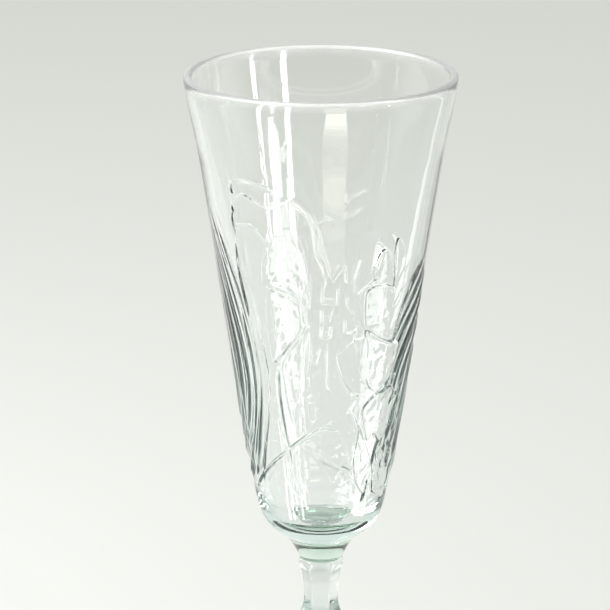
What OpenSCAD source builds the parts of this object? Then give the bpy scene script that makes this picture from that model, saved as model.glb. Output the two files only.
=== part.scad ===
// Pressed-glass champagne flute: a tapering bowl with a raised relief of
// flowers and blades, a round collar, a six-sided creased stem with a knop,
// and a round foot. The back half's relief is the mirror image of the front's.
// The origin is the centre of the resting plane under the foot, with +Z up.

/* [Overall] */
// Height from the table to the rim
total_h = 185; // [175:1:195]
// Outside diameter of the rim
rim_d = 60; // [58:0.5:62]
// Thickness of the lip
lip_t = 1.8; // [1.6:0.1:2.2]

/* [Bowl] */
// Height of the bowl, from the collar to the rim
bowl_h = 108; // [104:1:112]
// Depth of the flared lip band, from the rim down to the straight wall
band_h = 17; // [15:1:20]
// Outside radius of the bowl at the lower end of the lip band
band_r = 27.1; // [26.8:0.05:27.4]
// Outside radius of the bowl where the wall turns into the belly
belly_r = 15.2; // [15:0.1:15.6]
// Thickness of the straight wall at its upper end
wall_top_t = 1.9; // [1.8:0.1:2.2]
// Thickness of the straight wall at its lower end
wall_low_t = 2.8; // [2.4:0.1:3.2]
// Thickness of solid glass between the cavity and the collar
floor_t = 3.8; // [3:0.1:5]

/* [Relief] */
// How far the petals and leaves stand out of the wall
petal_proud = 0.45; // [0.3:0.05:0.6]
// How far the blades stand out of the wall
blade_proud = 0.75; // [0.5:0.05:0.9]
// How far the thin veins, filaments and seed squares stand out
vein_proud = 0.95; // [0.6:0.05:1.1]
// Direction that the flower faces, measured from the front of the glass
flower_turn = 12; // [0:1:20]
// Height of the flower's centre above the table
flower_z = 136; // [132:1:140]

/* [Collar] */
// Height of the collar
collar_h = 6.4; // [6:0.1:7]
// Radius of the seam between bowl and collar
seam_r = 9; // [8.5:0.1:9.5]
// Radius of the seam between collar and stem
neck_r = 5; // [4.8:0.1:5.4]

/* [Stem] */
// Distance from each flat to the axis at the upper waist
waist_a = 3.4; // [3.2:0.05:3.6]
// Distance from each flat to the axis at the widest part of the knop
knop_a = 6; // [5.6:0.1:6.4]
// Distance from each flat to the axis at the lower waist
ankle_a = 3.6; // [3.3:0.1:4]
// Distance from the neck down to the crease round the upper waist
crease_drop = 12; // [10:0.5:14]
// Direction that one flat faces, measured from the front of the glass
flat_turn = 2; // [0:1:30]

/* [Foot] */
// Diameter of the foot
foot_d = 62; // [58:1:66]
// Height of the seam between stem and foot
foot_h = 9; // [8:0.5:10]
// Radius of the seam between stem and foot
foot_seam_r = 6; // [5.6:0.1:6.6]
// Thickness of the foot near its edge
foot_edge_t = 2.4; // [2:0.1:3]
// Width of the flat ring that the foot rests on
rest_w = 4; // [3:0.5:5]
// Depth of the hollow under the foot
hollow_h = 1.5; // [1:0.1:2]

/* [Hidden] */
$fn = 96;

glass = [0.80, 0.90, 0.88, 0.45];
rim_r = rim_d / 2;
foot_r = foot_d / 2;
lip_z = total_h - lip_t / 2;
band_z = total_h - band_h;
belly_z = total_h - 97;
seam_z = total_h - bowl_h;
neck_z = seam_z - collar_h;
crease_z = neck_z - crease_drop;
floor_z = seam_z + floor_t;
wall_slope = (band_r - belly_r) / (band_z - belly_z);
cavity_low_r = belly_r - wall_low_t;
bite = 0.9; // how deep each raised pad is rooted in the wall
far = 40;   // longer than any radius of the bowl

// Outside radius of the plain straight wall at height z.
function wall_r(z) = belly_r + (z - belly_z) * wall_slope;

// Points of a cubic Bezier curve through p[0] and p[3], leaving out p[0].
function bezier(p, n = 12) = [
    for (i = [1:n])
        let (t = i / n, s = 1 - t)
        s * s * s * p[0] + 3 * s * s * t * p[1] + 3 * s * t * t * p[2] + t * t * t * p[3]
];

// Points of an arc about c, from angle a0 to a1, with both ends.
function arc(c, r, a0, a1, n = 8) = [
    for (i = [0:n])
        let (a = a0 + (a1 - a0) * i / n)
        c + r * [cos(a), sin(a)]
];

// A shape in X and Y turned upright, to stand in the XZ plane, and pushed
// out towards direction a of the wall. Direction 0 is the front, at -Y.
module facing(a) {
    rotate([0, 0, a])
    rotate([90, 0, 0])
    linear_extrude(far)
    children();
}

// What the children fill of a layer of the straight wall, up to `proud` mm
// outside it.
module raised(proud) {
    intersection() {
        rotate_extrude()
        polygon([
            [wall_r(belly_z) - bite, belly_z],
            [wall_r(belly_z) + proud, belly_z],
            [wall_r(band_z) + proud, band_z],
            [wall_r(band_z) - bite, band_z]
        ]);
        union() children();
    }
}

// A petal from the origin along +Y, w wide, with a rounded tip.
module petal(len, w) {
    polygon(concat(
        bezier([[0, 0], [w * 0.35, len * 0.2], [w * 0.75, len * 0.95], [0, len]], 9),
        bezier([[0, len], [-w * 0.75, len * 0.95], [-w * 0.35, len * 0.2], [0, 0]], 9)
    ));
}

// A blade along +Y from the origin, pointed at both ends. Its middle is bowed
// sideways by `bow` and its tip is hooked sideways by `hook`.
module blade(len, w, bow = 0, hook = 0) {
    n = 12;
    spine = [for (i = [0:n]) bow * sin(180 * i / n) + hook * pow(i / n, 2)];
    half_w = [for (i = [0:n]) w / 2 * pow(sin(180 * i / n), 0.7)];
    polygon(concat(
        [for (i = [0:n]) [spine[i] + half_w[i], len * i / n]],
        [for (i = [n - 1:-1:1]) [spine[i] - half_w[i], len * i / n]]
    ));
}

// Petals and leaves of one flower.
module flower_petals() {
    // upper left, with a long curled tip
    facing(flower_turn - 32) {
        translate([9, flower_z + 9]) rotate(68) petal(21, 15);
        translate([9, flower_z + 7]) rotate(40) petal(23, 9);
    }
    // left and lower left
    facing(flower_turn - 20) {
        translate([5, flower_z + 2]) rotate(88) petal(13, 11);
        translate([5, flower_z - 4]) rotate(122) petal(13, 10);
    }
    // right and upper right
    facing(flower_turn + 24) {
        translate([-6, flower_z + 6]) rotate(-24) petal(20, 9);
        translate([-5, flower_z + 1]) rotate(-76) petal(17, 12);
        translate([-5, flower_z - 5]) rotate(-128) petal(21, 12);
    }
    // leaf under the flower
    facing(flower_turn - 4) {
        translate([-7, flower_z - 31]) rotate(-112) petal(15, 9);
        translate([-6, flower_z - 12]) rotate(186) petal(19, 6);
    }
}

// Seed squares, filaments and the flower's long stalk.
module flower_veins() {
    facing(flower_turn) {
        for (x = [-3.6, 2.2], y = [-4.6, -0.8, 3])
            translate([x, flower_z + y])
            square([2.2, 2.8], center = true);
        for (k = [-2:2])
            translate([k * 2.1 - 0.6, flower_z + 7.2])
            rotate(-k * 17)
            blade(7.5 + 2.5 * abs(k), 0.8);
        for (k = [-1:1])
            translate([k * 2.6 - 0.6, flower_z - 17])
            rotate(k * 6)
            blade(9, 0.7);
    }
    facing(flower_turn - 42)
    translate([-15.5, flower_z - 45])
    rotate(-58)
    blade(30, 1, 2.4);
}

// Long blades on the side of the bowl, beside the flower.
module side_blades() {
    // four that sweep down on the left
    facing(flower_turn - 84) {
        for (k = [0:3])
            translate([k * 3 - 3.5, flower_z - 46 + k])
            rotate(k * 1.5 - 1)
            blade(62 - 9 * k, 2.2, 1.6 - k, -6 + 2.5 * k);
    }
    // three that lean in on the right
    facing(flower_turn + 62) {
        for (k = [0:2])
            translate([k * 3.2 - 5, flower_z - 42 + 3 * k])
            rotate(-10 + 3 * k)
            blade(50 - 4 * k, 2.2, 1.5, 3);
    }
}

// The raised pattern on the front half of the bowl.
module relief() {
    raised(petal_proud) flower_petals();
    raised(blade_proud) side_blades();
    raised(vein_proud) flower_veins();
}

// Outside of the bowl, from the seam up to the lip.
function bowl_outside() = concat(
    bezier([
        [seam_r, seam_z],
        [belly_r - 1.4, seam_z + 3.2],
        [belly_r - 0.9, belly_z - 4.6],
        [belly_r, belly_z]
    ], 16),
    [[band_r, band_z]],
    bezier([
        [band_r, band_z],
        [band_r + 0.9, band_z + 5.5],
        [rim_r - 0.7, total_h - 7],
        [rim_r, lip_z]
    ], 10)
);

// Inside of the bowl, from the lip down to the middle of the floor.
function bowl_inside() = concat(
    bezier([
        [rim_r - lip_t, lip_z],
        [rim_r - lip_t - 0.7, total_h - 7],
        [band_r - wall_top_t + 0.9, band_z + 5.5],
        [band_r - wall_top_t, band_z]
    ], 10),
    [[cavity_low_r, belly_z + 2]],
    bezier([
        [cavity_low_r, belly_z + 2],
        [cavity_low_r - 1, belly_z - 5],
        [7.6, floor_z],
        [3, floor_z]
    ], 14),
    [[0, floor_z]]
);

module bowl() {
    color(glass)
    union() {
        rotate_extrude()
        polygon(concat(
            [[0, seam_z], [seam_r, seam_z]],
            bowl_outside(),
            arc([rim_r - lip_t / 2, lip_z], lip_t / 2, 18, 162, 8),
            bowl_inside()
        ));
        relief();
        mirror([0, 1, 0]) relief();
    }
}

module collar() {
    color(glass)
    rotate_extrude()
    polygon(concat(
        [[0, neck_z], [neck_r, neck_z]],
        bezier([
            [neck_r, neck_z],
            [neck_r + 0.9, neck_z + 2.4],
            [seam_r - 1.8, seam_z - 1.5],
            [seam_r, seam_z]
        ], 12),
        [[0, seam_z]]
    ));
}

// Distance from a flat of the stem to the axis, from the foot up to the neck.
function stem_side() = concat(
    [[foot_seam_r + 0.4, foot_h]],
    bezier([
        [foot_seam_r + 0.4, foot_h],
        [ankle_a + 0.2, foot_h + 4],
        [ankle_a, foot_h + 8],
        [ankle_a, foot_h + 17]
    ], 10),
    bezier([
        [ankle_a, foot_h + 17],
        [ankle_a, foot_h + 27],
        [knop_a - 1.6, foot_h + 32],
        [knop_a, foot_h + 40]
    ], 8),
    bezier([
        [knop_a, foot_h + 40],
        [knop_a - 0.3, foot_h + 44],
        [waist_a + 1.2, crease_z - 4],
        [waist_a + 0.2, crease_z]
    ], 8),
    bezier([
        [waist_a + 0.2, crease_z],
        [waist_a - 0.2, crease_z + 4],
        [waist_a + 0.2, neck_z - 4],
        [neck_r + 0.4, neck_z]
    ], 8)
);

module stem() {
    side = stem_side();
    mirrored_side = [for (i = [len(side) - 1:-1:0]) [-side[i][0], side[i][1]]];
    color(glass)
    intersection() {
        intersection_for (turn = [0, 60, 120])
            rotate([0, 0, turn + 90 + flat_turn])
            rotate([90, 0, 0])
            linear_extrude(4 * knop_a, center = true)
            polygon(concat(side, mirrored_side));
        rotate_extrude()
        polygon([
            [0, foot_h],
            [foot_seam_r, foot_h],
            [knop_a * 1.12, foot_h + 12],
            [knop_a * 1.12, neck_z - 14],
            [neck_r, neck_z],
            [0, neck_z]
        ]);
    }
}

module foot() {
    hollow_r = foot_r - rest_w - 1.4;
    color(glass)
    rotate_extrude()
    polygon(concat(
        [[0, hollow_h]],
        bezier([
            [0, hollow_h],
            [hollow_r * 0.5, hollow_h],
            [hollow_r * 0.8, hollow_h * 0.7],
            [hollow_r, 0]
        ], 10),
        [[hollow_r + rest_w, 0]],
        arc([foot_r - foot_edge_t / 2, foot_edge_t / 2 + 0.2], foot_edge_t / 2, -60, 90, 10),
        bezier([
            [foot_r - foot_edge_t / 2, foot_edge_t + 0.2],
            [foot_r * 0.55, foot_edge_t + 0.9],
            [foot_seam_r + 3.5, foot_h - 3.5],
            [foot_seam_r, foot_h]
        ], 14),
        [[0, foot_h]]
    ));
}

bowl();
collar();
stem();
foot();
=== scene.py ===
"""A pressed-glass champagne flute with a raised flower relief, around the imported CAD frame.

Four glass pieces stand for the CAD nodes. The bowl is one mesh whose outside carries the relief:
petals, leaves, seed squares and blades, laid out on the unrolled wall as angle and height. The
wall's mesh is finer where the relief bends.
"""

import math

import bpy
import numpy as np
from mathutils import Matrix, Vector


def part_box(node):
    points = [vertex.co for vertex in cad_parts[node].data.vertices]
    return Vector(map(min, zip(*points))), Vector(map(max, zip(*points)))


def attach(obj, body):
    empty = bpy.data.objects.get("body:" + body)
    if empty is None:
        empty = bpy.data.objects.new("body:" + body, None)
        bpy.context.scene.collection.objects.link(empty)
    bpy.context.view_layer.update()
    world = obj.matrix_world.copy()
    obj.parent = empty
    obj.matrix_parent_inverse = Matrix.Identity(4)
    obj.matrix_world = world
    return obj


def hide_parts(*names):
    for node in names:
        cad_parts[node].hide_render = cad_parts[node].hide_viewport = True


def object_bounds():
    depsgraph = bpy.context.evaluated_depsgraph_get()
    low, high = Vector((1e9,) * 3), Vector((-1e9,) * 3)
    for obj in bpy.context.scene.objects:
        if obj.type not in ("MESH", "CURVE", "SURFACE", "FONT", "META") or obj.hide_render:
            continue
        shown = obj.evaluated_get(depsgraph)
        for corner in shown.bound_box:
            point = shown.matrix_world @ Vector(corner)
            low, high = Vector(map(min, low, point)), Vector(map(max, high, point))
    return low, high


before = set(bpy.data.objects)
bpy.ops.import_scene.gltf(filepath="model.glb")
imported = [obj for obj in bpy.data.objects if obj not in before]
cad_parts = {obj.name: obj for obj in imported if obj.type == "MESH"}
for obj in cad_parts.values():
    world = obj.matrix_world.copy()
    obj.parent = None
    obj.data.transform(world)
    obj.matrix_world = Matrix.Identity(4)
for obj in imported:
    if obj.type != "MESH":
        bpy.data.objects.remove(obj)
cad_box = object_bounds()

MM = 0.001
TOTAL_H = cad_box[1].z / MM
SEAM_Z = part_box("bowl")[0].z / MM       # bowl to collar
NECK_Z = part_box("collar")[0].z / MM     # collar to stem
FOOT_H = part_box("foot")[1].z / MM       # stem to foot
RIM_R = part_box("bowl")[1].x / MM
SEAM_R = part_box("collar")[1].x / MM
FOOT_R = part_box("foot")[1].x / MM

# The bowl's driving sizes in millimetres, as in the CAD part.
LIP_T = 1.8
BAND_H = 17.0
BAND_R = 27.1
BELLY_R = 15.2
WALL_TOP_T = 1.9
WALL_LOW_T = 2.8
FLOOR_T = 3.8
LIP_Z = TOTAL_H - LIP_T / 2
BAND_Z = TOTAL_H - BAND_H
BELLY_Z = TOTAL_H - 97.0
FLOOR_Z = SEAM_Z + FLOOR_T
NECK_R = 5.0
FOOT_SEAM_R = 6.0

# The stem's sizes: half-widths across its flats, and its crease's depth below the neck.
WAIST, KNOP, ANKLE = 3.4, 6.0, 3.6
CREASE_DROP = 12
KNOP_ROUND = 1.12        # the knop's radius over its half-width, before the flats cut it

SEAM_GAP = 0.01  # between fused pieces, so that their faces never coincide

COLUMNS = 180            # columns of the smooth parts of the bowl
CELL = 4                 # a coarse cell of the wall is this many fine steps wide and high
FINE_COLUMNS = COLUMNS * CELL
FINE_ROWS = 108 * CELL
BENT = 0.006             # millimetres of bend in a fine step beyond which a cell is halved
SHARP = 0.045            # and beyond which a half cell is halved again
BACK_FINENESS = 0.4      # the bend counts for less on the back half, whose mesh may be coarser
BACK_SHARE = 0.2         # how proud the back half's relief stands, beside the front's
DEGREES = 57.3           # in a radian

CLEAR = (0.55, 0.68, 0.65)      # absorption colour of the clear glass
GREEN = (0.0, 0.35, 0.12)       # and of the collar


# ---------------------------------------------------------------- curves

def bezier(p0, p1, p2, p3, n):
    """Points of a cubic Bezier curve, leaving out its first point."""
    t = np.arange(1, n + 1)[:, None] / n
    s = 1 - t
    p0, p1, p2, p3 = (np.array(p, float) for p in (p0, p1, p2, p3))
    return s**3 * p0 + 3 * s * s * t * p1 + 3 * s * t * t * p2 + t**3 * p3


def arc(centre, radius, a0, a1, n):
    """Points of an arc about centre, with both ends."""
    a = np.radians(np.linspace(a0, a1, n + 1))
    return np.array(centre) + radius * np.stack([np.cos(a), np.sin(a)], 1)


def spline(points, steps=7):
    """A smooth curve through the given points (Catmull-Rom)."""
    p = np.array(points, float)
    if len(p) < 3:
        return p
    p = np.vstack([2 * p[0] - p[1], p, 2 * p[-1] - p[-2]])
    out = []
    for a, b, c, d in zip(p[:-3], p[1:-2], p[2:-1], p[3:]):
        for t in np.arange(steps) / steps:
            out.append(
                0.5 * (2 * b + (c - a) * t + (2 * a - 5 * b + 4 * c - d) * t**2
                       + (3 * b - a - 3 * c + d) * t**3)
            )
    out.append(p[-2])
    return np.array(out)


def closed_spline(points, steps=6):
    """A smooth closed outline through the given points."""
    p = list(points)
    n = len(p)
    whole = spline(p[-2:] + p + p[:2], steps)
    return whole[2 * steps:(2 + n) * steps]


def smooth(x):
    """0 below 0, 1 above 1, and an S curve between."""
    x = np.clip(x, 0, 1)
    return x * x * (3 - 2 * x)


# ---------------------------------------------------------------- bowl outline

def wall_r(z):
    """Outside radius of the plain straight wall at height z, in millimetres."""
    return BELLY_R + (z - BELLY_Z) * (BAND_R - BELLY_R) / (BAND_Z - BELLY_Z)


def belly_outline():
    """Outside of the bowl, from the collar's seam up to the straight wall."""
    return np.vstack([
        [[SEAM_R, SEAM_Z]],
        bezier([SEAM_R, SEAM_Z], [BELLY_R - 1.4, SEAM_Z + 3.2],
               [BELLY_R - 0.9, BELLY_Z - 4.6], [BELLY_R, BELLY_Z], 18),
    ])


def lip_outline():
    """From the top of the straight wall, round the lip and down to the straight cavity wall."""
    outside = bezier([BAND_R, BAND_Z], [BAND_R + 0.9, BAND_Z + 5.5],
                     [RIM_R - 0.7, TOTAL_H - 7], [RIM_R, LIP_Z], 12)
    lip = arc([RIM_R - LIP_T / 2, LIP_Z], LIP_T / 2, 18, 162, 8)
    inside = bezier([RIM_R - LIP_T, LIP_Z], [RIM_R - LIP_T - 0.7, TOTAL_H - 7],
                    [BAND_R - WALL_TOP_T + 0.9, BAND_Z + 5.5],
                    [BAND_R - WALL_TOP_T, BAND_Z], 8)
    return np.vstack([outside, lip, [[RIM_R - LIP_T, LIP_Z]], inside])


def cavity_outline():
    """Inside of the bowl, from the foot of the straight cavity wall to the floor's middle."""
    low_r = BELLY_R - WALL_LOW_T
    return np.vstack([
        [[low_r, BELLY_Z + 2]],
        bezier([low_r, BELLY_Z + 2], [low_r - 1, BELLY_Z - 5],
               [7.6, FLOOR_Z], [3, FLOOR_Z], 14),
        [[1.5, FLOOR_Z], [0.5, FLOOR_Z]],
    ])


# ---------------------------------------------------------------- meshes

def new_mesh(name, verts, faces, seam_faces=()):
    """A smooth glass mesh. verts are in millimetres. Faces that only touch the next fused
    piece carry the attribute `seam`, so that light passes them unbent."""
    mesh = bpy.data.meshes.new(name)
    mesh.from_pydata((np.asarray(verts) * MM).tolist(), [], faces)
    mesh.shade_smooth()
    seam = mesh.attributes.new("seam", "FLOAT", "FACE")
    flags = np.zeros(len(mesh.polygons), dtype=np.float32)
    flags[list(seam_faces)] = 1.0
    seam.data.foreach_set("value", flags)
    mesh.update()
    obj = bpy.data.objects.new(name, mesh)
    bpy.context.collection.objects.link(obj)
    return obj


def ring_points(radii, heights, columns=COLUMNS):
    """Grid of points: radii may be one number per row or one per row and column."""
    a = np.radians(np.arange(columns) * 360 / columns - 180)
    radii = np.broadcast_to(np.asarray(radii, float).reshape(len(heights), -1),
                            (len(heights), columns))
    z = np.broadcast_to(np.asarray(heights, float)[:, None], radii.shape)
    return np.stack([radii * np.sin(a), -radii * np.cos(a), z], -1).reshape(-1, 3)


def grid_faces(rows, columns=COLUMNS):
    """Four-sided faces of a grid that closes round the axis."""
    i, j = np.meshgrid(np.arange(rows - 1), np.arange(columns), indexing="ij")
    k = (j + 1) % columns
    quads = np.stack([i * columns + j, i * columns + k,
                      (i + 1) * columns + k, (i + 1) * columns + j], -1)
    return quads.reshape(-1, 4).tolist()


def solid_of_revolution(name, radii, heights, columns=COLUMNS, base_is_seam=True):
    """A closed solid from rows of radii. Its first and last rows are closed by flat faces: the
    last is a fused seam, and so is the first unless base_is_seam is False."""
    rows = len(heights)
    verts = ring_points(radii, heights, columns)
    faces = grid_faces(rows, columns)
    start = len(faces)
    faces.append(list(range(columns))[::-1])
    faces.append([(rows - 1) * columns + j for j in range(columns)])
    marked = [start, start + 1] if base_is_seam else [start + 1]
    return new_mesh(name, verts, faces, marked)


# ---------------------------------------------------------------- relief

class Relief:
    """Height in millimetres of the pressed pattern on the straight wall. Columns are angles
    round the glass, 0 at the front and growing to the viewer's right; rows are heights."""

    FLAT_SHARE = 0.4    # how high a blade stands at its low side, beside its crest

    def __init__(self, heights):
        self.z = np.asarray(heights, float)
        self.phi = np.arange(FINE_COLUMNS) * 360 / FINE_COLUMNS - 180
        self.h = np.zeros((len(self.z), FINE_COLUMNS))

    def window(self, line, margin):
        """The grid cells within margin of a line's bounding box."""
        lo, hi = line.min(0), line.max(0)
        reach = margin / wall_r(lo[1]) * DEGREES
        rows = np.nonzero((self.z > lo[1] - margin) & (self.z < hi[1] + margin))[0]
        cols = np.nonzero((self.phi > lo[0] - reach) & (self.phi < hi[0] + reach))[0]
        return np.ix_(rows, cols), rows, cols

    def distance(self, line, rows, cols, closed=False):
        """Distance on the wall from each grid point to the line, how far along it is, and on
        which side: +1 is left of the line's direction."""
        z = self.z[rows][:, None]
        turn = np.radians(wall_r(z))
        x = self.phi[cols][None, :] * turn
        best = np.full((len(rows), len(cols)), 1e9)
        along, side = np.zeros_like(best), np.zeros_like(best)
        ends = np.vstack([line, line[:1]]) if closed else line
        n = len(ends) - 1
        for k, (a, b) in enumerate(zip(ends[:-1], ends[1:])):
            ax, bx = a[0] * turn, b[0] * turn
            dx, dz = bx - ax, b[1] - a[1]
            t = np.clip(((x - ax) * dx + (z - a[1]) * dz) / (dx * dx + dz * dz + 1e-9), 0, 1)
            d = np.hypot(x - ax - t * dx, z - a[1] - t * dz)
            nearer = d < best
            along = np.where(nearer, (k + t) / n, along)
            side = np.where(nearer, np.sign(dx * (z - a[1]) - dz * (x - ax)), side)
            best = np.where(nearer, d, best)
        return best, along, side

    def inside(self, line, rows, cols):
        """Which grid points lie inside a closed outline."""
        z = self.z[rows][:, None]
        x = self.phi[cols][None, :]
        odd = np.zeros((len(rows), len(cols)), bool)
        for a, b in zip(line, np.roll(line, -1, 0)):
            crosses = (a[1] > z) != (b[1] > z)
            with np.errstate(divide="ignore", invalid="ignore"):
                at = a[0] + (z - a[1]) * (b[0] - a[0]) / (b[1] - a[1])
            odd ^= crosses & (x < at)
        return odd

    def ridge(self, points, height, width, taper=0.25):
        """A thin raised line, tapering at its ends, or a groove where height is negative."""
        line = spline(points)
        cells, rows, cols = self.window(line, 3 * width)
        d, t, _ = self.distance(line, rows, cols)
        ends = smooth(np.minimum(t, 1 - t) / max(taper, 1e-6))
        self.h[cells] += height * np.exp(-(d / width) ** 2) * ends

    def fold(self, points, height, reach, steep=0.34, taper=0.12):
        """A blade's edge: a crest that falls steeply on the right of the line's direction and
        gently, within reach, on its left."""
        line = spline(points)
        cells, rows, cols = self.window(line, reach)
        d, t, side = self.distance(line, rows, cols)
        ends = smooth(np.minimum(t, 1 - t) / taper)
        gentle = np.clip(1 - d / (reach * (0.35 + 0.65 * ends)), 0, 1) ** 1.4
        sharp = smooth(1 - d / steep)
        crest = height * np.where(side > 0, gentle, sharp) * ends
        self.h[cells] = np.maximum(self.h[cells], crest)

    def blades(self, lines, height, lean, steep=0.34, tip=8):
        """Long blades side by side. lines are the borders between them from left to right, each
        listed downwards. A blade rises gently towards lean (+1 right, -1 left) and drops
        steeply at that border, and its upper end rises from the wall within tip."""
        borders = [spline(line)[::-1] for line in lines]
        z = self.z[:, None]
        turn = np.radians(wall_r(z))
        phi = self.phi[None, :]
        for left, right in zip(borders[:-1], borders[1:]):
            a = np.interp(z, left[:, 1], left[:, 0])
            b = np.maximum(np.interp(z, right[:, 1], right[:, 0]), a + 0.5)
            low, high = (a, b) if lean > 0 else (b, a)
            top = min(left[-1, 1], right[-1, 1]) + 2
            foot = max(left[0, 1], right[0, 1]) - 2
            ends = smooth((top - z) / tip) * smooth((z - foot) / 5)
            across = np.clip((phi - low) / (high - low), 0, 1)
            drop = smooth(1 - lean * (phi - high) * turn / steep)
            rise = self.FLAT_SHARE + (1 - self.FLAT_SHARE) * across ** 2
            crest = height * ends * rise * drop * smooth(lean * (phi - low) * turn / 0.1)
            self.h = np.maximum(self.h, crest)

    def plate(self, points, height, edge=0.26, tilt=(0, 0), dimpled=0.0, dome=0.0):
        """A raised leaf or petal with a crisp edge. tilt raises one side of it, dimpled
        presses shallow hollows into its face and dome swells its middle."""
        line = closed_spline(points)
        cells, rows, cols = self.window(line, 1.5)
        d, _, _ = self.distance(line, rows, cols, closed=True)
        signed = np.where(self.inside(line, rows, cols), d, -d)
        mask = smooth(signed / edge + 0.5)
        z = self.z[rows][:, None]
        x = self.phi[cols][None, :]
        mid, span = (line.max(0) + line.min(0)) / 2, np.ptp(line, axis=0) / 2 + 1e-9
        slope = 1 + tilt[0] * (x - mid[0]) / span[0] + tilt[1] * (z - mid[1]) / span[1]
        face = height * slope + dome * smooth(signed / 4)
        face = face + dimpled * dimples(x * np.radians(wall_r(z)), z) * smooth(signed / 1.2)
        self.h[cells] = self.h[cells] * (1 - mask) + np.maximum(face, self.h[cells] * 0.5) * mask


def dimples(x, z):
    """Uneven shallow hollows, about 3 to 5 mm across, between -1 and 1."""
    a = np.sin(1.35 * x + 1.5 * np.sin(0.8 * z + 0.4)) * np.sin(1.1 * z + 1.3 * np.sin(0.9 * x))
    b = np.sin(2.2 * x - 1.5 * z + 1.6 * np.sin(0.7 * x + 0.8 * z))
    return 0.65 * a + 0.35 * b


def draw_flower(relief):
    """Petals round the seed head."""
    # the broad upper left petal, then its outlines and folds as thin grooves
    relief.plate([(-47, 146), (-48, 152), (-49.5, 157), (-46.5, 161), (-42, 162.9), (-38, 163.2),
                  (-32, 162), (-27, 161), (-20, 162), (-14, 163), (-8, 161), (-4.5, 158.5),
                  (-3, 155.5), (-2, 152), (1, 147), (2, 143), (-8, 142), (-20, 142.5),
                  (-32, 143), (-40, 142)], 0.2, edge=0.5, tilt=(0.1, 0.2))
    for points in [
        [(1, 147.6), (-2, 152), (-3, 155.5), (-4.5, 158.5), (-8, 161), (-14, 163), (-20, 162),
         (-27, 161), (-32, 162), (-38, 163.2), (-42, 162.9), (-46.5, 161)],
        [(-22, 164.4), (-27, 165.3), (-33, 166), (-39, 166.2), (-44, 165.4), (-46, 163.8),
         (-45.4, 162.6)],
        [(-24, 149), (-27, 152.4), (-31, 154.7), (-35, 155.9), (-39, 156.2), (-43, 155.8),
         (-47.3, 155.2)],
        [(-45.6, 162), (-46.8, 160), (-46.2, 158.6), (-47.6, 157), (-47.2, 153), (-48, 149),
         (-48.4, 145), (-46.5, 140), (-44, 134)],
    ]:
        relief.ridge(points, -0.3, 0.32, taper=0.06)
    # two petals on the left, and the long pointed one below them
    relief.plate([(-31, 142.6), (-31.5, 147), (-27.5, 152), (-21, 155), (-15, 154.5),
                  (-10.5, 151), (-8, 146), (-7.3, 141.8), (-13, 141), (-20, 141.8),
                  (-26, 142.6)], 0.5, tilt=(-0.25, 0.2), dimpled=0.06, dome=0.35)
    relief.plate([(-29.8, 141.4), (-20, 140.6), (-12, 139.8), (-8.4, 137), (-8.3, 133),
                  (-14, 131), (-20, 128.5), (-25, 125.5), (-29.2, 124.8), (-31.5, 131)],
                 0.52, tilt=(-0.3, -0.1), dimpled=0.09, dome=0.2)
    relief.plate([(-8.5, 131.5), (-14, 129.6), (-20, 126.5), (-24, 123), (-22.5, 115),
                  (-20.3, 110.5), (-18.5, 109.3), (-16.5, 111), (-14.5, 116), (-13, 122),
                  (-10, 127)], 0.42, tilt=(-0.3, 0), dimpled=0.06)
    relief.fold([(-31, 142.4), (-26, 142.3), (-20, 141.5), (-13, 140.7), (-8, 141.3)],
                0.85, 2.0, steep=0.36)
    # grooves along the edges of the lower petals
    for points in [
        [(-24.4, 123), (-23, 116), (-20.6, 110.8), (-18.4, 109.2), (-16.3, 111), (-14.4, 116)],
        [(-7, 133.6), (-13, 131), (-19, 128.2), (-24, 126), (-28.5, 124.6)],
        [(8.6, 131), (9.6, 127), (11.4, 123.4), (14.4, 120.4), (19, 117.6), (26, 116.2)],
    ]:
        relief.ridge(points, -0.45, 0.3, taper=0.06)
    # right-hand petals
    relief.plate([(40.5, 149), (41.6, 152.8), (45, 151.8), (48.5, 149), (50.3, 144),
                  (50, 139), (47, 136.5), (42, 137.5), (42.5, 143)], 0.25, tilt=(0.1, 0.1))
    relief.plate([(28, 146), (31, 150), (34.5, 151), (38.5, 149), (38, 145), (34, 143.4),
                  (30, 143.8)], 0.42, dome=0.3)
    relief.plate([(24.8, 139), (26, 141.8), (33, 142.6), (40, 142), (43.5, 140),
                  (41.5, 136), (40.5, 132), (34, 131.3), (28.5, 132.6), (26, 134)],
                 0.5, tilt=(0.2, 0.2), dimpled=0.05, dome=0.15)
    relief.plate([(26, 132.2), (32, 130.5), (40, 129), (51.5, 127.3), (50, 122),
                  (46, 118.8), (40, 117), (33, 117.8), (29, 121), (28, 127)],
                 0.5, tilt=(0.25, 0.2), dimpled=0.07, dome=0.2)
    relief.fold([(51.5, 127.5), (45, 128), (38, 129.3), (32, 130.8), (26, 132.5)],
                0.9, 2.0, steep=0.36)
    for points in [
        [(41, 139.6), (34, 139), (27, 138.4)],
        [(42, 137.4), (35, 136.4), (28.5, 135.8), (26.5, 136.4)],
        [(40.5, 134.4), (34, 134), (28, 134.6)],
    ]:
        relief.fold(points, 0.62, 1.4, steep=0.3)
    relief.plate([(9.5, 126.5), (11, 123.6), (14, 121), (19, 118.4), (26, 116.9),
                  (28.5, 118), (29, 124), (27.5, 130), (22, 130.5), (15, 129)],
                 0.3, tilt=(0.1, -0.25))
    relief.plate([(38, 116), (43, 116.3), (48, 117), (54, 116.2), (57, 113), (52, 106),
                  (46, 104), (40, 106.5), (35, 104.8), (31, 108), (29, 113)],
                 0.45, tilt=(0.2, 0.1), dimpled=0.08, dome=0.15)


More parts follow.
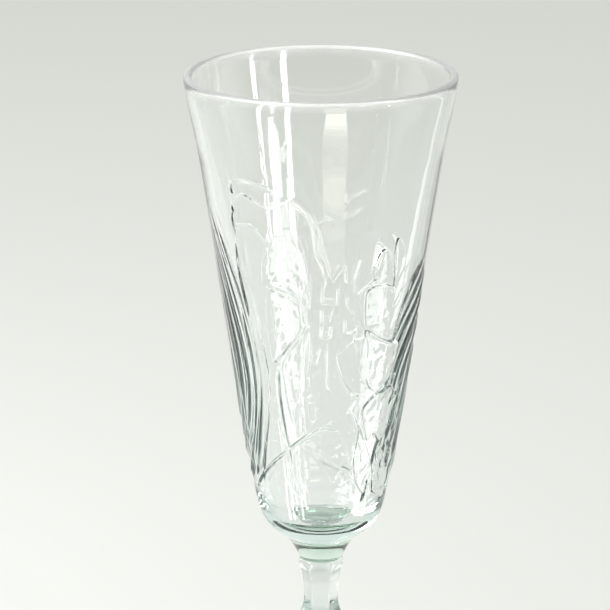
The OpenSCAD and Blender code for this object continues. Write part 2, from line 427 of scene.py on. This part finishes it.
def draw_seed_head(relief):
    """Partly outlined squares in two columns, filaments above and creases below."""
    for outline in [
        [(1, 144), (0.8, 139.4), (9, 139.1), (9.2, 143)],
        [(0.6, 138.2), (0.3, 135), (4.2, 135), (6, 138)],
        [(0.5, 134.4), (0, 131.3), (5.2, 131.1), (5.6, 134.4)],
        [(14, 141), (14.6, 138.4), (18.5, 136.4)],
        [(13.6, 135.4), (13.5, 132.1), (20, 132), (20.4, 134)],
    ]:
        for a, b in zip(outline[:-1], outline[1:]):
            relief.ridge([a, b], 0.38, 0.2, taper=0.08)
    for line in [
        [(5, 144.7), (3.5, 148), (1, 151.5), (-1, 155.2), (-3.6, 159.5)],
        [(6, 144.3), (8, 146), (11, 147.6)],
        [(12.5, 148.2), (12.9, 146), (13.4, 143.7)],
        [(16.5, 143.2), (19, 146.4), (21, 149.8)],
        [(18, 143.8), (18.8, 141.4)],
        [(20, 141), (25, 142.6), (31, 144.3)],
        [(28, 146), (30, 149), (31.5, 150.5)],
        [(-6.4, 144.5), (-6.6, 141), (-7, 137.6)],
        [(-7.4, 134.6), (-7.2, 131), (-7, 125)],
        [(3.5, 130), (3.2, 125), (3.8, 121), (5.2, 118)],
        [(-0.6, 129), (-2, 126.6), (-4.4, 124.2)],
        [(8.8, 130.5), (9.2, 128), (9.6, 126.4)],
        [(20, 132.6), (20.4, 129.6), (23.4, 127)],
        [(19, 115), (18.4, 112)],
        [(11.5, 162.6), (14, 163.9), (22, 165.2)],
        [(10.5, 158.8), (15, 160), (20, 161.4)],
        [(-1.2, 158.2), (3, 158.8), (6.4, 157.6)],
    ]:
        relief.ridge(line, 0.36, 0.22, taper=0.12)


def draw_leaves(relief):
    """The flower's long stalk and the leaves beside it."""
    relief.plate([(-0.6, 105), (0, 108), (6, 108.7), (12, 108), (17, 104.4), (21, 101),
                  (15, 99.6), (7, 100.4), (1.6, 102.8)], 0.42, dimpled=0.16, dome=0.15)
    relief.plate([(2, 99.4), (6, 97), (10, 95), (16, 94), (20.5, 95.6), (19.5, 98),
                  (12, 99)], 0.38, dimpled=0.14)
    relief.fold([(24, 97.4), (19, 98.6), (13, 99.6), (7, 100.6), (2, 102.4), (-1, 105.4)],
                0.6, 2.4, steep=0.3)
    relief.ridge([(-72, 89.6), (-60, 92.5), (-50, 95.6), (-38, 99.2), (-27, 102.3),
                  (-18, 104.8), (-10, 107), (1, 109.2), (14, 111.4)], 0.6, 0.3, taper=0.2)
    relief.ridge([(-13, 107.6), (-6, 105), (0, 101.7), (8, 99.8), (14, 98.7), (21, 97),
                  (26, 95)], 0.3, 0.3)
    relief.fold([(-22, 93), (-22.6, 101), (-25.5, 108), (-27.5, 116), (-27, 124)],
                0.5, 2.4, steep=0.4)
    relief.fold([(-18, 112), (-19.4, 118), (-20.6, 124)], 0.5, 1.6, steep=0.4)
    relief.fold([(-12, 117.5), (-8.6, 116.4), (-7, 113.4), (-6.2, 110)], 0.42, 2.0)
    relief.ridge([(25, 110.5), (28, 108.6), (31, 106), (34, 105)], 0.3, 0.28)
    relief.ridge([(39, 106.6), (42, 105.6)], 0.3, 0.28)
    relief.fold([(44.5, 101.5), (44.4, 99.6), (46.5, 98.4), (49.5, 97.8)], 0.7, 1.8)
    relief.fold([(38.4, 95.2), (37.6, 92), (35.4, 88.9)], 0.7, 1.8)
    relief.fold([(-17, 92), (-17.6, 98), (-16.5, 103.4)], 0.45, 2.2)


def draw_blades(relief):
    """Long creased blades that sweep down both sides of the flower."""
    relief.blades([
        [(-96, 158), (-94, 140), (-92, 128), (-93, 112), (-97, 100)],
        [(-90, 154), (-84, 144), (-78, 134), (-74, 124), (-76, 114), (-88, 104)],
        [(-86, 156), (-78, 148), (-72, 140), (-66, 131), (-63, 122), (-67, 112), (-78, 104),
         (-90, 99)],
        [(-80, 157), (-74, 151), (-68, 144), (-63, 136), (-57.5, 128), (-54.5, 119),
         (-58, 113), (-65, 107), (-76, 101), (-86, 96)],
        [(-75, 158), (-69, 152), (-63, 147), (-55, 142), (-51, 137), (-49, 128), (-48.5, 118),
         (-51, 112), (-57, 105), (-66, 98), (-78, 92)],
        [(-73, 159), (-68, 154), (-60, 150), (-52, 144), (-47, 137), (-43, 128), (-42.5, 118),
         (-46, 110), (-50, 104.6), (-56, 98), (-64, 92)],
        [(-48.6, 150), (-48, 145), (-44, 139), (-38, 131), (-35, 124), (-34.6, 118), (-38, 110),
         (-42, 105), (-47, 99), (-52, 93)],
    ], 0.62, lean=-1, steep=0.26, tip=40)
    relief.blades([
        [(75, 147), (62, 142), (56, 138.6), (51, 134), (47.6, 128), (46.4, 122), (46, 117)],
        [(84, 142), (74, 137.6), (66, 134), (60, 131), (54, 127), (50, 123), (47.6, 117)],
        [(88, 138), (78, 134), (68, 129.6), (60, 125), (55, 120.6), (52, 116)],
        [(92, 133), (80, 128.6), (71, 123.6), (64, 117.6), (60, 112), (57, 106)],
        [(96, 127), (84, 121.6), (76, 116), (69, 109), (65, 103), (62, 97)],
        [(98, 120), (90, 114), (82, 108), (76, 101.6), (71, 95), (68, 90)],
        [(100, 116), (96, 108), (92, 100), (88, 92)],
    ], 0.7, lean=1)
    # ragged leaf edges on the right, low down
    relief.plate([(44, 103), (49, 105), (57, 109), (56, 113), (62, 114), (68, 106), (62, 101),
                  (56, 103), (54, 98), (57, 93), (66, 88.6), (52, 90), (44, 92), (41, 97)],
                 0.5, dimpled=0.1)
    relief.plate([(20, 113), (24, 111), (27, 107), (25, 101), (28, 95), (37, 91), (44, 90.5),
                  (43, 96), (38, 101), (34, 104), (29, 110), (24, 115)],
                 0.34, dimpled=0.1)


def pressed_relief(heights):
    """The pattern on the front half, and its much lower mirror image on the back half."""
    relief = Relief(heights)
    draw_blades(relief)
    draw_flower(relief)
    draw_leaves(relief)
    draw_seed_head(relief)
    fade = smooth((relief.z - BELLY_Z) / 3) * smooth((BAND_Z - relief.z) / 1.5)
    front = relief.h * fade[:, None]
    behind = np.mod(FINE_COLUMNS // 2 - np.arange(FINE_COLUMNS), FINE_COLUMNS)
    facing = np.abs(relief.phi) <= 90
    return np.where(facing, front, BACK_SHARE * front[:, behind])


# ---------------------------------------------------------------- glass pieces

def bend(height):
    """How much the relief bends at each fine point, as the larger second difference."""
    across = np.abs(np.roll(height, 1, 1) - 2 * height + np.roll(height, -1, 1))
    up = np.zeros_like(height)
    up[1:-1] = np.abs(height[2:] - 2 * height[1:-1] + height[:-2])
    return np.maximum(across, up)


def most_in_cells(values, size):
    """The largest value in each size x size block, its far edges included."""
    rows = values.shape[0] // size
    wrapped = np.hstack([values, values[:, :1]])
    out = np.zeros((rows, FINE_COLUMNS // size))
    for i in range(size + 1):
        for j in range(size + 1):
            out = np.maximum(out, wrapped[i:i + rows * size:size, j:j + FINE_COLUMNS:size][:rows])
    return out


def wall_cells(height):
    """Corner and size of every cell of the wall: coarse where the relief is flat, fine where it
    bends. The first and last coarse rows stay whole, to meet the smooth parts."""
    bent = bend(height)
    bent[:, FINE_COLUMNS // 4 * 3:] *= BACK_FINENESS
    bent[:, :FINE_COLUMNS // 4] *= BACK_FINENESS
    coarse = most_in_cells(bent, CELL) > BENT
    coarse[[0, -1]] = False
    half = most_in_cells(bent, CELL // 2) > SHARP
    cells = []
    for i, j in np.ndindex(coarse.shape):
        if not coarse[i, j]:
            cells.append((i * CELL, j * CELL, CELL))
            continue
        for u, v in ((0, 0), (0, 1), (1, 0), (1, 1)):
            top, left = i * CELL + u * CELL // 2, j * CELL + v * CELL // 2
            if half[2 * i + u, 2 * j + v]:
                cells += [(top + p, left + q, 1) for p in (0, 1) for q in (0, 1)]
            else:
                cells.append((top, left, CELL // 2))
    return cells


def wall_faces(cells, rows):
    """Faces of the cells, each with every used point on its border, so that nothing gapes."""
    used = np.zeros((rows, FINE_COLUMNS), bool)
    for i, j, size in cells:
        for p, q in ((i, j), (i, j + size), (i + size, j), (i + size, j + size)):
            used[p, q % FINE_COLUMNS] = True
    index = np.cumsum(used).reshape(used.shape) - 1
    faces = []
    for i, j, size in cells:
        steps = range(size)
        border = (
            [(i, j + t) for t in steps] + [(i + t, j + size) for t in steps]
            + [(i + size, j + size - t) for t in steps] + [(i + size - t, j) for t in steps]
        )
        faces.append([int(index[p, q % FINE_COLUMNS]) for p, q in border
                      if used[p, q % FINE_COLUMNS]])
    return used, faces


def make_bowl():
    """Belly, wall with its relief, lip and cavity in one closed mesh. The point attribute `lip`
    is 1 at the lip and 0 below it."""
    belly = belly_outline()
    upper = np.vstack([lip_outline(), cavity_outline()])
    wall_z = np.linspace(BELLY_Z, BAND_Z, FINE_ROWS + 1)
    height = pressed_relief(wall_z)
    used, faces = wall_faces(wall_cells(height), len(wall_z))
    wall = ring_points(wall_r(wall_z)[:, None] + height, wall_z, FINE_COLUMNS)[used.ravel()]

    below = belly[:-1]      # its last row is the wall's first
    start = len(below) * COLUMNS
    verts = np.vstack([ring_points(below[:, 0], below[:, 1]), wall,
                       ring_points(upper[:, 0], upper[:, 1])])
    after = start + len(wall)
    faces = [[start + v for v in face] for face in faces]
    faces += grid_faces(len(below))
    faces += [[after + v for v in face] for face in grid_faces(len(upper))]
    for low, high in [(start - COLUMNS, start), (after - COLUMNS, after)]:
        for j in range(COLUMNS):
            k = (j + 1) % COLUMNS
            faces.append([low + j, low + k, high + k, high + j])
    base = len(faces)
    faces.append(list(range(COLUMNS))[::-1])
    faces.append([len(verts) - COLUMNS + j for j in range(COLUMNS)])
    bowl = new_mesh("bowl_glass", verts, faces, [base])
    lip = bowl.data.attributes.new("lip", "FLOAT", "POINT")
    heights = verts[:, 2]
    lip.data.foreach_set("value", smooth((heights - LIP_Z + 0.3) / 0.8).astype(np.float32))
    return bowl


def make_collar():
    """The short flared neck between stem and bowl."""
    side = np.vstack([
        [[NECK_R, NECK_Z + SEAM_GAP]],
        bezier([NECK_R, NECK_Z + SEAM_GAP], [NECK_R + 0.9, NECK_Z + 2.4],
               [SEAM_R - 1.8, SEAM_Z - 1.5], [SEAM_R, SEAM_Z - SEAM_GAP], 16),
    ])
    return solid_of_revolution("collar_glass", side[:, 0], side[:, 1], 144)


def stem_flats():
    """Distance from a flat to the axis against height, from the foot up to the neck."""
    crease_z = NECK_Z - CREASE_DROP
    base = FOOT_SEAM_R + 0.4
    return np.vstack([
        [[base, FOOT_H]],
        bezier([base, FOOT_H], [ANKLE + 0.2, FOOT_H + 4],
               [ANKLE, FOOT_H + 8], [ANKLE, FOOT_H + 17], 16),
        bezier([ANKLE, FOOT_H + 17], [ANKLE, FOOT_H + 27],
               [KNOP - 1.6, FOOT_H + 32], [KNOP, FOOT_H + 40], 20),
        bezier([KNOP, FOOT_H + 40], [KNOP - 0.3, FOOT_H + 44],
               [WAIST + 1.2, crease_z - 4], [WAIST + 0.2, crease_z], 14),
        bezier([WAIST + 0.2, crease_z], [WAIST - 0.2, crease_z + 4],
               [WAIST + 0.2, NECK_Z - 4], [NECK_R + 0.4, NECK_Z], 20),
    ])


def make_stem():
    """Six flats cut into a round stem, with a waist, a knop and an ankle."""
    columns = 144
    flats = stem_flats()
    z = flats[:, 1].copy()
    knop_r = KNOP * KNOP_ROUND
    round_r = np.interp(z, [FOOT_H, FOOT_H + 12, NECK_Z - 14, NECK_Z],
                        [FOOT_SEAM_R, knop_r, knop_r, NECK_R])
    turn = np.radians(np.arange(columns) * 360 / columns - 180)
    flat_turn = math.radians(2)
    sharp = 36  # how crisp the arrises are
    total = (1 / round_r[:, None]) ** sharp + np.zeros((len(z), columns))
    for k in range(6):
        facing = np.clip(np.cos(turn + flat_turn - k * math.pi / 3), 0, None)
        total += (facing[None, :] / flats[:, :1]) ** sharp
    radii = total ** (-1 / sharp)
    # the ends are exact circles, so that they meet the collar and the foot
    end = np.minimum(smooth((z - FOOT_H) / 1.2), smooth((NECK_Z - z) / 1.2))[:, None]
    ends = np.where(z < FOOT_H + 10, FOOT_SEAM_R, NECK_R)[:, None]
    radii = ends * (1 - end) + radii * end
    z[0] += SEAM_GAP
    z[-1] -= SEAM_GAP
    return solid_of_revolution("stem_glass", radii, z, columns)


def make_foot():
    """The domed round foot with its rest ring and the shallow hollow inside it."""
    edge_t, rest_w, hollow_h = 2.4, 4.0, 1.5
    hollow_r = FOOT_R - rest_w - 1.4
    side = np.vstack([
        [[0.4, hollow_h]],
        bezier([0.4, hollow_h], [hollow_r * 0.5, hollow_h],
               [hollow_r * 0.8, hollow_h * 0.7], [hollow_r, 0], 14),
        [[hollow_r + rest_w, 0]],
        arc([FOOT_R - edge_t / 2, edge_t / 2 + 0.2], edge_t / 2, -60, 90, 10),
        bezier([FOOT_R - edge_t / 2, edge_t + 0.2], [FOOT_R * 0.55, edge_t + 0.9],
               [FOOT_SEAM_R + 3.5, FOOT_H - 3.5], [FOOT_SEAM_R, FOOT_H - SEAM_GAP], 20),
    ])
    return solid_of_revolution("foot_glass", side[:, 0], side[:, 1], 180, base_is_seam=False)


# ---------------------------------------------------------------- materials

def glass_material(name, waviness, body_colour):
    """Clear pressed glass: a faint green body that shows where light travels far in it, a
    slightly wavy surface, a rough lip whose surface is partly diffuse white, a painted paleness
    standing in for the light that the glass leads up its wall into the lip and for the highlight
    along it, and no bending of light at the fused seams."""
    mat = bpy.data.materials.new(name)
    mat.use_nodes = True
    nt = mat.node_tree
    nt.nodes.clear()
    out = nt.nodes.new("ShaderNodeOutputMaterial")
    glass = nt.nodes.new("ShaderNodeBsdfPrincipled")
    glass.inputs["Base Color"].default_value = (1, 1, 1, 1)
    glass.inputs["Roughness"].default_value = 0.0
    glass.inputs["IOR"].default_value = 1.5
    glass.inputs["Transmission Weight"].default_value = 1.0
    nt.links.new(glass.outputs["BSDF"], out.inputs["Surface"])

    seam = nt.nodes.new("ShaderNodeAttribute")
    seam.attribute_name = "seam"
    ior = nt.nodes.new("ShaderNodeMapRange")
    ior.inputs["To Min"].default_value = 1.5
    ior.inputs["To Max"].default_value = 1.0
    nt.links.new(seam.outputs["Fac"], ior.inputs["Value"])
    lip = nt.nodes.new("ShaderNodeAttribute")
    lip.attribute_name = "lip"
    polish = nt.nodes.new("ShaderNodeMath")
    polish.operation = "MULTIPLY"
    polish.inputs[1].default_value = 0.4
    nt.links.new(lip.outputs["Fac"], polish.inputs[0])
    nt.links.new(polish.outputs["Value"], glass.inputs["Roughness"])
    # painted paleness: up to 28 percent of the lip's surface turns diffuse white instead of clear
    # glass, standing in for light led up the wall into the lip and its highlight
    clear = nt.nodes.new("ShaderNodeMapRange")
    clear.inputs["To Min"].default_value = 1.0
    clear.inputs["To Max"].default_value = 0.72
    nt.links.new(lip.outputs["Fac"], clear.inputs["Value"])
    nt.links.new(clear.outputs["Result"], glass.inputs["Transmission Weight"])

    place = nt.nodes.new("ShaderNodeTexCoord")
    wave = nt.nodes.new("ShaderNodeTexNoise")
    wave.inputs["Scale"].default_value = 120
    wave.inputs["Detail"].default_value = 1.0
    nt.links.new(place.outputs["Object"], wave.inputs["Vector"])
    bump = nt.nodes.new("ShaderNodeBump")
    bump.inputs["Strength"].default_value = 1.0
    bump.inputs["Distance"].default_value = waviness * MM
    nt.links.new(wave.outputs["Fac"], bump.inputs["Height"])
    nt.links.new(bump.outputs["Normal"], glass.inputs["Normal"])

    body = nt.nodes.new("ShaderNodeVolumeAbsorption")
    body.inputs["Color"].default_value = (*body_colour, 1)
    body.inputs["Density"].default_value = 40
    nt.links.new(body.outputs["Volume"], out.inputs["Volume"])
    return mat


def floor_material():
    """Matt pale paint."""
    mat = bpy.data.materials.new("floor_paint")
    mat.use_nodes = True
    nt = mat.node_tree
    paint = nt.nodes["Principled BSDF"]
    paint.inputs["Roughness"].default_value = 0.9
    paint.inputs["Specular IOR Level"].default_value = 0.1
    paint.inputs["Base Color"].default_value = (0.58, 0.585, 0.57, 1)
    return mat


# ---------------------------------------------------------------- stage

def make_floor():
    """A wide pale floor, a little below the foot."""
    bpy.ops.mesh.primitive_circle_add(vertices=96, radius=6, fill_type="NGON")
    floor = bpy.context.object
    floor.name = "floor"
    floor.location.z = -0.0002  # air under the foot, so that glass and paint don't coincide
    floor.data.materials.append(floor_material())


def area_light(name, place, target, size, power, colour=(1, 1, 1)):
    """A rectangular light at a place, turned to a target and itself unseen by the camera."""
    data = bpy.data.lights.new(name, "AREA")
    data.shape = "RECTANGLE"
    data.size, data.size_y = size
    data.energy = power
    data.color = colour
    light = bpy.data.objects.new(name, data)
    bpy.context.collection.objects.link(light)
    light.location = place
    light.rotation_euler = (Vector(target) - Vector(place)).to_track_quat("-Z", "Y").to_euler()
    light.visible_camera = False
    return light


def make_world():
    """A pale room: bright overhead and at the sides, dim low behind the camera."""
    world = bpy.data.worlds.new("studio")
    bpy.context.scene.world = world
    world.use_nodes = True
    nt = world.node_tree
    sky = nt.nodes["Background"]
    sky.inputs["Strength"].default_value = 1.4
    direction = nt.nodes.new("ShaderNodeTexCoord")
    split = nt.nodes.new("ShaderNodeSeparateXYZ")
    nt.links.new(direction.outputs["Generated"], split.inputs[0])
    ramp = nt.nodes.new("ShaderNodeMapRange")
    ramp.interpolation_type = "SMOOTHSTEP"
    ramp.inputs["From Min"].default_value = -0.45
    ramp.inputs["From Max"].default_value = 0.10
    nt.links.new(split.outputs["Y"], ramp.inputs["Value"])
    above = nt.nodes.new("ShaderNodeMapRange")
    above.interpolation_type = "SMOOTHSTEP"
    above.inputs["From Min"].default_value = 0.30
    above.inputs["From Max"].default_value = 0.55
    nt.links.new(split.outputs["Z"], above.inputs["Value"])
    either = nt.nodes.new("ShaderNodeMath")
    either.operation = "MAXIMUM"
    nt.links.new(ramp.outputs["Result"], either.inputs[0])
    nt.links.new(above.outputs["Result"], either.inputs[1])
    mix = nt.nodes.new("ShaderNodeMix")
    mix.data_type = "RGBA"
    mix.inputs["A"].default_value = (0.03, 0.03, 0.028, 1)
    mix.inputs["B"].default_value = (0.80, 0.82, 0.78, 1)
    nt.links.new(either.outputs["Value"], mix.inputs["Factor"])
    nt.links.new(mix.outputs["Result"], sky.inputs["Color"])


def around(azimuth, distance, height):
    """A place at an azimuth from the front (degrees, positive to the viewer's right)."""
    a = math.radians(azimuth)
    return (distance * math.sin(a), -distance * math.cos(a), height)


def card(name, azimuth, near, far, width, glow, colour=(1, 1, 1)):
    """A glowing card that lies on the floor facing up, from near to far along an azimuth."""
    middle = around(azimuth, (near + far) / 2, 0.003)
    power = glow * math.pi * width * (far - near)
    light = area_light(name, middle, (0, 0, 1), (width, far - near), power, colour)
    light.rotation_euler = (math.pi, 0, math.radians(azimuth))


def make_lights():
    """Two tall windows, glowing cards on the floor that the glass reflects, two soft lights."""
    middle = (0, 0, 0.13)
    area_light("window_tall_a", around(66, 1.4, 0.45), middle, (0.055, 0.9), 3.1)
    area_light("window_tall_b", around(34.5, 1.4, 0.35), middle, (0.12, 0.7), 4.5)
    card("card_left", -45, 0.15, 0.20, 0.045, 5.5)
    card("card_left_wide", -43, 0.20, 0.25, 0.07, 6)
    for azimuth in (-60, -51, -33):
        card(f"card_left_low_{-azimuth}", azimuth, 0.09, 0.15, 0.008, 10)
    for near, far, width in [(0.25, 0.28, 0.04), (0.28, 0.31, 0.028), (0.31, 0.345, 0.016)]:
        card(f"card_left_{1000 * near:.0f}", -44, near, far, width, 11)
    card("card_right", 74, 0.10, 0.24, 0.06, 4.8)
    for near, far, glow in [(0.295, 0.39, 4.6), (0.275, 0.295, 2.8), (0.255, 0.275, 1.6),
                            (0.235, 0.255, 0.8)]:
        card(f"card_front_{1000 * near:.0f}", 13, near, far, 0.105, glow, (1, 1, 0.85))
    card("glow_left", -148, 0.30, 0.85, 0.24, 0.1)
    card("glow_right", 160, 0.30, 0.85, 0.035, 0.5)
    area_light("soft_left", (-0.5, 0.15, 0.9), (-0.2, 0.25, 0), (0.5, 0.5), 2.2)
    area_light("soft_low", (-0.33, -0.06, 0.36), (-0.14, 0.1, 0), (0.2, 0.2), 1.1)


def set_light_paths():
    """Light is led a long way round inside clear glass, so it may bounce often."""
    scene = bpy.context.scene
    scene.view_settings.view_transform = "Standard"
    scene.cycles.max_bounces = 32
    scene.cycles.glossy_bounces = 12
    scene.cycles.transmission_bounces = 32
    scene.cycles.transparent_max_bounces = 16
    scene.cycles.sample_clamp_indirect = 30


def make_camera():
    """Above the rim and in front of it, looking down at the upper part of the glass."""
    distance, above_rim, tilt = 0.51, 0.1128, 18.04
    data = bpy.data.cameras.new("camera")
    data.sensor_width = 36
    data.lens = 140.9
    data.shift_x = -0.026
    camera = bpy.data.objects.new("camera", data)
    bpy.context.collection.objects.link(camera)
    camera.location = (0, -distance, TOTAL_H * MM + above_rim)
    camera.rotation_euler = (math.radians(90 - tilt), 0, 0)
    bpy.context.scene.camera = camera


set_light_paths()
make_camera()
make_floor()
make_world()
make_lights()
for build, node, waviness, body_colour in [
    (make_bowl, "bowl", 0.004, CLEAR),
    (make_collar, "collar", 0.01, GREEN),
    (make_stem, "stem", 0.01, CLEAR),
    (make_foot, "foot", 0.01, CLEAR),
]:
    piece = build()
    piece.data.materials.append(glass_material(piece.name, waviness, body_colour))
    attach(piece, "root")
    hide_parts(node)
